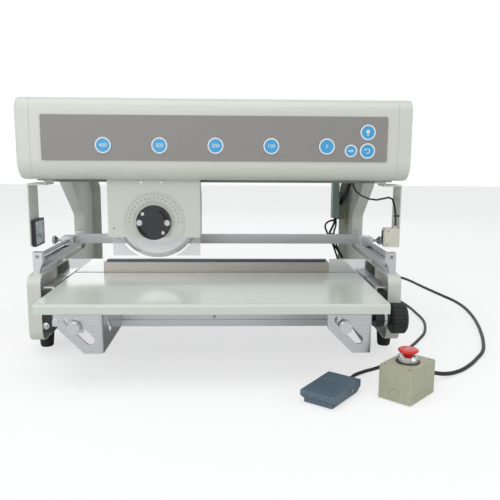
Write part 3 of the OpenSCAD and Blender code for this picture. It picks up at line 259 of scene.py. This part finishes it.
def block(bm, low, high, matrix, bevel=0.0, segments=2):
    """A block between two corners with eased edges."""
    part = bmesh.new()
    bmesh.ops.create_cube(part, size=1.0)
    size = Vector(high) - Vector(low)
    bmesh.ops.scale(part, vec=size, verts=part.verts)
    bmesh.ops.translate(part, vec=(Vector(high) + Vector(low)) / 2, verts=part.verts)
    if bevel:
        bmesh.ops.bevel(part, geom=part.edges[:], offset=bevel, offset_type="OFFSET", segments=segments, profile=0.5,
                        affect="EDGES", clamp_overlap=True, material=-1)
    add(bm, part, matrix)


def cap_screw(bm, matrix, r, height, socket):
    """A cap screw with a hexagon socket, its seat at local height 0."""
    part = bmesh.new()
    chamfer = r * 0.12
    profile = [(r, 0), (r, height - chamfer), (r - chamfer, height), (socket * 1.2, height)]
    row = [part.verts.new((x, 0, z)) for x, z in profile]
    line = [part.edges.new(pair) for pair in zip(row, row[1:])]
    bmesh.ops.spin(part, geom=row + line, cent=(0, 0, 0), axis=(0, 0, 1), angle=math.tau, steps=24,
                   use_merge=True, use_duplicate=False)
    bmesh.ops.remove_doubles(part, verts=part.verts, dist=1e-4)
    mouth = [e for e in part.edges if e.is_boundary and e.verts[0].co.z > height / 2]
    hexagon = bmesh.ops.create_circle(part, cap_ends=False, segments=6, radius=socket,
                                      matrix=Matrix.Translation((0, 0, height)))["verts"]
    rim = list({e for v in hexagon for e in v.link_edges})
    bmesh.ops.bridge_loops(part, edges=mouth + rim)
    sunk = bmesh.ops.extrude_edge_only(part, edges=rim)["geom"]
    bmesh.ops.translate(part, vec=(0, 0, -height * 0.6), verts=[g for g in sunk if isinstance(g, bmesh.types.BMVert)])
    floor_edges = [g for g in sunk if isinstance(g, bmesh.types.BMEdge) and g.is_boundary]
    bmesh.ops.contextual_create(part, geom=floor_edges)
    seat_edges = [e for e in part.edges if e.is_boundary]
    if seat_edges:
        bmesh.ops.contextual_create(part, geom=seat_edges)
    add(bm, part, matrix)


def cross_screw(bm, matrix, r, height):
    """A pan-head screw with a cross recess, its seat at local height 0."""
    part = bmesh.new()
    bmesh.ops.create_cone(part, cap_ends=True, segments=24, radius1=r, radius2=r * 0.72, depth=height,
                          matrix=Matrix.Translation((0, 0, height / 2)))
    top = max(part.faces, key=lambda f: f.calc_center_median().z)
    bmesh.ops.inset_individual(part, faces=[top], thickness=r * 0.22, use_even_offset=True)
    inner = max((f for f in part.faces if len(f.verts) == 24), key=lambda f: f.calc_center_median().z)
    star = sorted(inner.verts, key=lambda v: math.atan2(v.co.y, v.co.x))
    for i, vertex in enumerate(star):
        if i % 6 not in (0, 5):
            vertex.co.xy *= 0.42
    bmesh.ops.translate(part, vec=(0, 0, -height * 0.5), verts=bmesh.ops.extrude_discrete_faces(
        part, faces=[inner])["faces"][0].verts)
    add(bm, part, matrix)


def piece(name, bm, look, body, sharp=35):
    """Makes a piece from its shape, with smooth shading, its body and its finish."""
    mesh = bpy.data.meshes.new(name)
    bm.to_mesh(mesh)
    bm.free()
    for face in mesh.polygons:
        face.use_smooth = True
    mesh.set_sharp_from_angle(angle=math.radians(sharp))
    obj = bpy.data.objects.new(name, mesh)
    bpy.context.scene.collection.objects.link(obj)
    mesh.materials.append(look)
    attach(obj, body)
    return obj


def lettering(bm, words, size, matrix, depth=0.12):
    """Raised figures, centred on the place."""
    curve = bpy.data.curves.new("figures", "FONT")
    curve.body = words
    curve.size = size
    curve.extrude = depth / 2
    curve.resolution_u = 3
    curve.align_x = "CENTER"
    curve.align_y = "CENTER"
    holder = bpy.data.objects.new("figures", curve)
    bpy.context.scene.collection.objects.link(holder)
    bpy.context.view_layer.update()
    mesh = bpy.data.meshes.new_from_object(holder)
    mesh.transform(matrix @ Matrix.Translation((0, 0, depth / 2)))
    bm.from_mesh(mesh)
    bpy.data.objects.remove(holder)
    bpy.data.curves.remove(curve)
    bpy.data.meshes.remove(mesh)


def middle(node):
    """The middle of a node's box, in millimetres."""
    low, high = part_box(node)
    return (low + high) / 2 / MM


# ------------------------------------------------------------------ cords

STOP_ROUTE = [
    (333.75, 447, 60), (333.75, 456, 60), (334, 468, 56), (335, 484, 46), (338, 508, 26),
    (346, 535, 9), (362, 565, 4), (390, 598, 3.5), (430, 624, 3.5), (480, 636, 3.5), (524, 628, 3.5),
    (549, 598, 3.5), (563, 550, 3.5), (572, 490, 3.5), (582, 430, 3.5), (594, 364, 3.5), (604, 306, 3.5),
    (605, 248, 3.5), (596, 176, 3.5), (579, 98, 3.5), (558, 25, 3.5), (535, -41, 3.5), (511, -95, 3.5),
    (485, -133, 3.5), (456, -170, 3.5), (423, -202, 4), (393, -221, 7), (371, -232, 13), (354.3, -243, 19),
    (347.5, -250, 20), (341.9, -255.8, 20),
]
PEDAL_ROUTE = [
    (333.75, 447, 95), (333.75, 455, 95), (334, 465, 92), (337, 480, 82), (345, 500, 56),
    (358, 510, 28), (378, 506, 9), (402, 484, 3), (428, 440, 3), (448, 380, 3), (462, 310, 3), (469, 240, 3),
    (469, 185, 3), (467, 135, 3), (461, 100, 3), (450, 62, 3), (435, 23, 3), (413, -15, 3), (392, -48, 3),
    (356, -98, 3), (325, -141, 3), (289, -178, 3), (258, -200, 3.5), (236, -222, 4.5), (225.5, -244, 5.5),
    (219.9, -255.1, 5.5), (215, -261.4, 5.5),
]


def round_lead(name, route, diameter, look, ring_steps, run_steps):
    """A round lead along a route in millimetres, carried by the frame."""
    curve = bpy.data.curves.new(name, "CURVE")
    curve.dimensions = "3D"
    curve.bevel_depth = diameter / 2 * MM
    curve.bevel_resolution = ring_steps
    curve.resolution_u = run_steps
    curve.use_fill_caps = True
    line = curve.splines.new("BEZIER")
    line.bezier_points.add(len(route) - 1)
    for knot, point in zip(line.bezier_points, route):
        knot.co = Vector(point) * MM
        knot.handle_left_type = knot.handle_right_type = "AUTO"
    obj = bpy.data.objects.new(name, curve)
    bpy.context.scene.collection.objects.link(obj)
    curve.materials.append(look)
    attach(obj, "frame")
    return obj, line


def lead(name, route, diameter, node):
    """A cord along its route, lying where its solid lies."""
    obj, line = round_lead(name, route, diameter, cable_jacket, 4, 8)
    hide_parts(node)
    bpy.context.view_layer.update()


lead("stop_cord", STOP_ROUTE, 7, "stop_lead")
lead("pedal_cord", PEDAL_ROUTE, 6, "pedal_lead")


# ------------------------------------------------------------------- keys

KEYS = {"key_400": "400", "key_300": "300", "key_200": "200", "key_100": "100", "key_0": "0", "lamp_key": "",
        "arrow_key": "", "return_key": ""}
for key, figures in KEYS.items():
    low, high = (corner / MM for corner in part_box(key))
    radius = (high.x - low.x) / 2
    face = place(((low.x + high.x) / 2, low.y, (low.z + high.z) / 2), FRONT)
    ring = bmesh.new()
    lathe(ring, [(radius - 2.6, -0.5), (radius - 2.6, 0.15), (radius - 2.2, 0.35), (radius - 0.9, 0.35),
                 (radius + 0.02, -0.25), (radius + 0.02, -0.75), (radius - 2.6, -0.5)], face, 64)
    piece(key + "_ring", ring, key_white, key)
    if figures:
        marks = bmesh.new()
        lettering(marks, figures, 9.5, face)
        piece(key + "_figures", marks, key_white, key)


def symbol(bm, outline, matrix, depth=0.2):
    """A flat raised sign from its outline, in the plane of a place."""
    part = bmesh.new()
    face = part.faces.new([part.verts.new((x, y, 0)) for x, y in outline])
    raised = bmesh.ops.extrude_face_region(part, geom=[face])["geom"]
    bmesh.ops.translate(part, vec=(0, 0, depth), verts=[g for g in raised if isinstance(g, bmesh.types.BMVert)])
    add(bm, part, matrix)


def around(steps, radius, start=0.0, sweep=360.0):
    """Points on a circle or an arc, in degrees from local X."""
    return [(radius * math.cos(math.radians(start + sweep * i / steps)),
             radius * math.sin(math.radians(start + sweep * i / steps))) for i in range(steps + (sweep < 360))]


def key_face(key):
    """The place in the middle of a key's front."""
    low, high = (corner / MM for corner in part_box(key))
    return place(((low.x + high.x) / 2, low.y, (low.z + high.z) / 2), FRONT)


signs = bmesh.new()
bulb = around(14, 3.4, -52, 284)
symbol(signs, [(x, y + 1.4) for x, y in bulb], key_face("lamp_key"))
for row in (-2.6, -4.0, -5.4):
    block(signs, (-1.5, row - 0.45, 0), (1.5, row + 0.45, 0.2), key_face("lamp_key"))
piece("lamp_sign", signs, key_white, "lamp_key")
signs = bmesh.new()
for side in (-1, 1):
    symbol(signs, [(side * 1.0, 2.6), (side * 1.0, -2.6), (side * 5.4, 0)][::side], key_face("arrow_key"))
block(signs, (-1.2, -0.6, 0), (1.2, 0.6, 0.2), key_face("arrow_key"))
piece("arrow_sign", signs, key_white, "arrow_key")
signs = bmesh.new()
symbol(signs, around(20, 4.4, 150, -270) + around(20, 3.0, -120, 270), key_face("return_key"))
symbol(signs, [(-5.9, 1.4), (-1.6, 2.0), (-4.6, 5.2)], key_face("return_key"))
piece("return_sign", signs, key_white, "return_key")


# ------------------------------------------------------------------- hub

hub_low, hub_high = (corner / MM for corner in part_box("eccentric_hub"))
scale_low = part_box("angle_scale")[0] / MM
hub_axis = Vector(((hub_low.x + hub_high.x) / 2, hub_low.y, (hub_low.z + hub_high.z) / 2))
CLAMP_RADIUS = 26.0

clamps = bmesh.new()
for side in (-1, 1):
    spot = (hub_axis.x + side * CLAMP_RADIUS, hub_low.y - 0.2, hub_axis.z)
    lathe(clamps, [(2.6, 0), (5.6, 0), (5.6, 0.9), (2.6, 0.9), (2.6, 0)], place(spot, FRONT))
    cap_screw(clamps, place((spot[0], spot[1] - 0.9, spot[2]), FRONT), 4.4, 4.2, 2.2)
piece("hub_clamp_screws", clamps, zinc, "carriage")
pins = bmesh.new()
for angle in (140, -47):
    turn = math.radians(angle)
    spot = (hub_axis.x + CLAMP_RADIUS * math.cos(turn), hub_low.y + 0.4, hub_axis.z + CLAMP_RADIUS * math.sin(turn))
    lathe(pins, [(0, 0), (3.3, 0), (3.3, 0.9), (2.8, 1.3), (1.5, 1.3), (1.2, 0.7), (0, 0.7)], place(spot, FRONT))
piece("hub_pins", pins, zinc, "hub")
rim = bmesh.new()
lathe(rim, [(15.5, 0), (16.5, 0.25), (17.5, 0), (15.5, 0)],
      place((hub_axis.x, hub_low.y + 0.02, hub_axis.z), FRONT), 64)
piece("hub_turning_ring", rim, black_oxide, "hub")

marks = bmesh.new()
dial = place((hub_axis.x, scale_low.y, hub_axis.z), FRONT)
for degrees, inner, outer in ([(a, 52.0, 55.0 if a % 15 else 55.8) for a in range(0, 181, 5)]
                              + [(a / 2, 36.5, 40.5) for a in range(0, 361, 15)]):
    tick = dial @ Matrix.Rotation(math.radians(degrees), 4, "Z")
    block(marks, (inner, -0.28, 0), (outer, 0.28, 0.12), tick)
for degrees in range(0, 181, 10):
    tick = dial @ Matrix.Rotation(math.radians(degrees), 4, "Z") @ Matrix.Translation((46.5, 0, 0)) \
        @ Matrix.Rotation(math.radians(-90), 4, "Z")
    lettering(marks, str(abs(90 - degrees)), 3.6, tick)
piece("scale_marks", marks, ink_black, "carriage")
edge = bmesh.new()
lathe(edge, [(57.2, 0), (57.2, 0.15), (57.9, 0.15), (57.9, 0)], dial, 96)
piece("scale_edge", edge, enamel, "carriage")

head_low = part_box("head_shell")[0] / MM
studs = bmesh.new()
for offset in (-22.8, 15.4):
    cap_screw(studs, place((hub_axis.x + offset, head_low.y, 321.5), FRONT), 3.0, 1.8, 1.5)
piece("head_screws", studs, zinc, "carriage")


# ---------------------------------------------------------- light barrier

low, high = (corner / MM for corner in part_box("reflector"))
SHEET_EDGE = 3.2
SHEET_FACE = 0.45
sheet_bm = bmesh.new()
block(sheet_bm, (high.x + 0.02, low.y + SHEET_EDGE, low.z + SHEET_EDGE),
      (high.x + SHEET_FACE, high.y - SHEET_EDGE, high.z - SHEET_EDGE), IN_PLACE, 0.15)
piece("reflector_sheet", sheet_bm, prism_silver, "frame")
bolt = bmesh.new()
cross_screw(bolt, place((high.x + SHEET_FACE, low.y + 7.5, high.z - 7), RIGHT), 2.6, 1.4)
cross_screw(bolt, place((high.x + SHEET_FACE, high.y - 7.5, low.z + 7), RIGHT), 2.6, 1.4)
piece("reflector_screws", bolt, key_white, "frame")

low, high = (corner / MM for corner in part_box("sensor"))
bolt = bmesh.new()
cross_screw(bolt, place((low.x + 9, low.y + 1.2, low.z + 31), FRONT), 2.1, 1.1)
cross_screw(bolt, place((low.x + 7, low.y + 1.2, low.z + 5), FRONT), 2.1, 1.1)
piece("sensor_screws", bolt, zinc, "frame")
lens = bmesh.new()
block(lens, (low.x - 0.6, low.y + 3.4, low.z + 4.4), (low.x + 1.7, low.y + 16.6, low.z + 31.6), IN_PLACE,
      0.5)
lathe(lens, [(0, 0), (3.6, 0), (3.6, 0.5), (2.4, 1.1), (0, 1.4)], place((low.x - 0.5, low.y + 10, low.z + 18), LEFT))
piece("sensor_lens", lens, black_plastic, "frame")
tie = bmesh.new()
block(tie, (342.2, -47.6, 257.5), (353.6, -41.0, 260.3), IN_PLACE, 0.6)
block(tie, (341.0, -49.5, 256.8), (345.4, -46.0, 261.0), IN_PLACE, 0.6)
piece("lead_tie", tie, black_plastic, "frame")


# -------------------------------------------------------- screws of the frame

def screws(name, spots, normal, r, height, socket, look=zinc, body="frame", washer=0.0):
    """A row of cap screws on one face, with washers where they have them."""
    bm = bmesh.new()
    lift = 1.2 if washer else 0.0
    for spot in spots:
        if washer:
            lathe(bm, [(r * 0.5, 0), (washer, 0), (washer, 1.0), (washer - 0.3, 1.2), (r * 0.5, 1.2), (r * 0.5, 0)],
                  place(spot, normal))
        cap_screw(bm, place(Vector(spot) + Vector(normal) * lift, normal), r, height, socket)
    piece(name, bm, look, body)


beam_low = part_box("base_beam")[0] / MM
plate_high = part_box("table_brackets")[1] / MM
frame_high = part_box("right_side_frame")[1] / MM
block_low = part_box("adjuster_blocks")[0] / MM
rods_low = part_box("rod_brackets")[0] / MM
screws("stop_block_screw", [(block_low.x + 6, beam_low.y, 57)], FRONT, 4.2, 3.4, 2.1, washer=6.2)
screws("rod_bracket_screws", [(side * 331, rods_low.y, 184.5) for side in (-1, 1)], FRONT, 3.4, 1.2, 1.6, dark_steel)
screws("beam_screw", [(-3, beam_low.y + 3.2, 74)], FRONT, 2.6, 1.6, 1.3, dark_steel)
screws("bracket_screws", [(x, plate_high.y - 3, 63) for x in (-195, -187, 237, 245)], FRONT, 2.9, 2.6, 1.5)
for side, face in ((-1, LEFT), (1, RIGHT)):
    screws("side_screws_" + ("left" if side < 0 else "right"),
           [(side * frame_high.x, y, z) for y in (-38, 38) for z in (70, 102)]
           + [(side * frame_high.x, y, 308) for y in (170, 320)], face, 4.2, 2.6, 2.1, dark_steel)
rear_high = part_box("rear_cover")[1] / MM
back_screws = bmesh.new()
for x in (-310, -105, 105, 310):
    for z in (338, 460):
        cross_screw(back_screws, place((x, rear_high.y, z), BACK), 3.2, 1.4)
piece("rear_cover_screws", back_screws, zinc, "frame")

wheel_low, wheel_high = (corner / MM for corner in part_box("handwheel"))
wheel_axis = ((wheel_low.y + wheel_high.y) / 2, (wheel_low.z + wheel_high.z) / 2)
hubcap = bmesh.new()
lathe(hubcap, [(0, -1.0), (15, -1.0), (15, 0.2), (14, 0.7), (7, 0.7), (5, 0.1), (0, 0.1)],
      place((wheel_high.x, *wheel_axis), RIGHT), 48)
piece("wheel_cap", hubcap, black_plastic, "wheel")
screws("wheel_screw", [(wheel_high.x + 0.1, *wheel_axis)], RIGHT, 3.4, 1.6, 1.7, zinc, "wheel")


# ------------------------------------------------------------------ wiring

def wire(name, route, diameter, look):
    """A lead that the machine holds, from one fixing to the next."""
    round_lead(name, route, diameter, look, 3, 6)


wire("inner_lead_a", [(307, 418, 210), (307, 418, 196), (301, 417, 180), (294, 416, 162), (302, 417, 140),
                      (318, 420, 118), (330, 426, 100), (333.75, 432, 95)], 6, cable_jacket)
wire("inner_lead_b", [(308, 416, 210), (305, 414, 201), (292, 410, 198), (281, 408, 188), (285, 409, 170),
                      (297, 412, 148), (312, 416, 112), (326, 424, 74), (333.75, 432, 60)], 5, cable_jacket)
wire("inner_lead_c", [(310, 420, 210), (311, 419, 186), (306, 418, 165), (311, 419, 143), (322, 424, 115),
                      (333, 430, 97)], 5, cable_jacket)
wire("earth_lead", [(323, 429, 244), (326, 424, 236), (331, 420, 226), (335, 419, 212), (336, 421, 196),
                    (337, 427, 186), (338, 431.8, 184)], 3, earth_yellow)
lug = bmesh.new()
lathe(lug, [(0, 0), (4.5, 0), (4.5, 1.5), (3.2, 1.5), (3.2, 3.2), (0, 3.4)], place((338, 431.9, 184), FRONT), 24)
piece("earth_stud", lug, zinc, "frame")
strap = bmesh.new()
block(strap, (290.5, 411.5, 160.5), (304.5, 422.0, 164.5), IN_PLACE, 0.8)
piece("bundle_tie", strap, black_plastic, "frame")


def relief(name, at, along, cord_r, length):
    """A ribbed tapered sleeve that a cord leaves through."""
    bm = bmesh.new()
    root = cord_r + 1.9
    rows = [(cord_r + 0.05, 0.0), (root, 0.0)]
    ribs = 6
    for i in range(ribs):
        start = length * i / ribs
        r = root - 1.7 * i / ribs
        rows += [(r, start + length * 0.55 / ribs), (r - 0.7, start + length * 0.6 / ribs),
                 (r - 0.75, start + length * 0.95 / ribs), (r - 0.2, start + length / ribs)]
    rows += [(cord_r + 0.05, length), (cord_r + 0.05, 0.0)]
    lathe(bm, rows, place(at, along), 24)
    piece(name, bm, rubber, "frame")


relief("stop_relief_rear", STOP_ROUTE[0], (0.004, 1, -0.07), 3.5, 18)
relief("pedal_relief_rear", PEDAL_ROUTE[0], (0, 1, -0.06), 3.0, 16)
box_out = Vector(STOP_ROUTE[-2]) - Vector(STOP_ROUTE[-1])
relief("stop_relief_box", STOP_ROUTE[-1], box_out, 3.5, 12)
pedal_out = Vector(PEDAL_ROUTE[-2]) - Vector(PEDAL_ROUTE[-1])
relief("pedal_relief", PEDAL_ROUTE[-1], pedal_out, 3.0, 12)


# ------------------------------------------------------------ stop box, pedal

bezel = middle("stop_bezel")
bezel_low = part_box("stop_bezel")[0] / MM
gasket = bmesh.new()
lathe(gasket, [(16.25, 0.02), (18.6, 0.02), (18.6, 1.3), (18.0, 1.8), (16.25, 1.8), (16.25, 0.02)],
      place((bezel.x, bezel.y, bezel_low.z), UP), 64)
piece("stop_gasket", gasket, rubber, "frame")
BOX_TURN = math.radians(46)
BOX_HALF = (80 / 2, 56 / 2)
box_axis = Vector((math.cos(BOX_TURN), math.sin(BOX_TURN), 0))
box_side = Vector((-math.sin(BOX_TURN), math.cos(BOX_TURN), 0))
lid = bmesh.new()
for u in (-1, 1):
    for v in (-1, 1):
        spot = Vector((bezel.x, bezel.y, bezel_low.z - 1.9)) + box_axis * u * (BOX_HALF[0] - 8) \
            + box_side * v * (BOX_HALF[1] - 7)
        cross_screw(lid, place(spot, UP, box_axis), 2.1, 1.3)
piece("box_lid_screws", lid, dark_steel, "frame")

PEDAL_TURN = math.radians(52)
pin_axis = Vector((-math.sin(PEDAL_TURN), math.cos(PEDAL_TURN), 0))
pin_middle = Vector((184.5 + 15 * math.cos(PEDAL_TURN), -300.4 + 15 * math.sin(PEDAL_TURN), 13))
heads = bmesh.new()
for side in (-1, 1):
    lathe(heads, [(0, -1.2), (2.0, -1.2), (2.0, 0.35), (3.3, 0.35), (3.3, 0.9), (2.6, 1.5), (0, 1.7)],
          place(pin_middle + pin_axis * side * 28.5, pin_axis * side), 24)
piece("pedal_pin_heads", heads, dark_steel, "frame")


# ------------------------------------------------------------------ studio

floor_mesh = bmesh.new()
bmesh.ops.create_grid(floor_mesh, x_segments=1, y_segments=1, size=6.0)
mesh = bpy.data.meshes.new("floor")
floor_mesh.to_mesh(mesh)
floor_mesh.free()
floor = bpy.data.objects.new("floor", mesh)
bpy.context.scene.collection.objects.link(floor)
floor_look = bpy.data.materials.new("floor")
floor_look.use_nodes = True
tree = floor_look.node_tree
tree.nodes.clear()
result = tree.nodes.new("ShaderNodeOutputMaterial")
seen = tree.nodes.new("ShaderNodeLightPath")
plain = tree.nodes.new("ShaderNodeBsdfDiffuse")
plain.inputs["Color"].default_value = (0.80, 0.80, 0.80, 1)
pale = tree.nodes.new("ShaderNodeBsdfDiffuse")
pale.inputs["Color"].default_value = (0.42, 0.42, 0.42, 1)
glow = tree.nodes.new("ShaderNodeEmission")
glow.inputs["Color"].default_value = (1, 1, 1, 1)
glow.inputs["Strength"].default_value = 0.62
both = tree.nodes.new("ShaderNodeAddShader")
pick = tree.nodes.new("ShaderNodeMixShader")
tree.links.new(pale.outputs[0], both.inputs[0])
tree.links.new(glow.outputs[0], both.inputs[1])
tree.links.new(seen.outputs["Is Camera Ray"], pick.inputs[0])
tree.links.new(plain.outputs[0], pick.inputs[1])
tree.links.new(both.outputs[0], pick.inputs[2])
tree.links.new(pick.outputs[0], result.inputs["Surface"])
mesh.materials.append(floor_look)

world = bpy.data.worlds.new("studio")
bpy.context.scene.world = world
world.use_nodes = True
sky = world.node_tree
sky.nodes.clear()
out = sky.nodes.new("ShaderNodeOutputWorld")
path = sky.nodes.new("ShaderNodeLightPath")
soft = sky.nodes.new("ShaderNodeBackground")
soft.inputs["Color"].default_value = (0.96, 0.98, 1.0, 1)
soft.inputs["Strength"].default_value = 0.55
white = sky.nodes.new("ShaderNodeBackground")
white.inputs["Color"].default_value = (1, 1, 1, 1)
white.inputs["Strength"].default_value = 1.0
choose = sky.nodes.new("ShaderNodeMixShader")
sky.links.new(path.outputs["Is Camera Ray"], choose.inputs[0])
sky.links.new(soft.outputs[0], choose.inputs[1])
sky.links.new(white.outputs[0], choose.inputs[2])
sky.links.new(choose.outputs[0], out.inputs["Surface"])


def lamp(name, at, towards, size, watts, tint=(1, 1, 1)):
    """A soft square lamp that points at a place."""
    data = bpy.data.lights.new(name, "AREA")
    data.shape = "RECTANGLE"
    data.size, data.size_y = size
    data.energy = watts
    data.color = tint
    obj = bpy.data.objects.new(name, data)
    bpy.context.scene.collection.objects.link(obj)
    obj.location = at
    obj.rotation_euler = (Vector(towards) - Vector(at)).to_track_quat("-Z", "Y").to_euler()


lamp("top_softbox", (-0.3, -0.5, 2.1), (0, 0, 0.2), (2.2, 1.6), 13)
lamp("front_softbox", (-0.9, -2.2, 1.0), (0, 0, 0.25), (1.8, 1.4), 13)
lamp("right_fill", (1.9, -1.0, 0.9), (0, 0, 0.2), (1.4, 1.4), 4)
lamp("back_fill", (0.4, 2.2, 1.3), (0, 0.2, 0.3), (2.0, 1.2), 4)
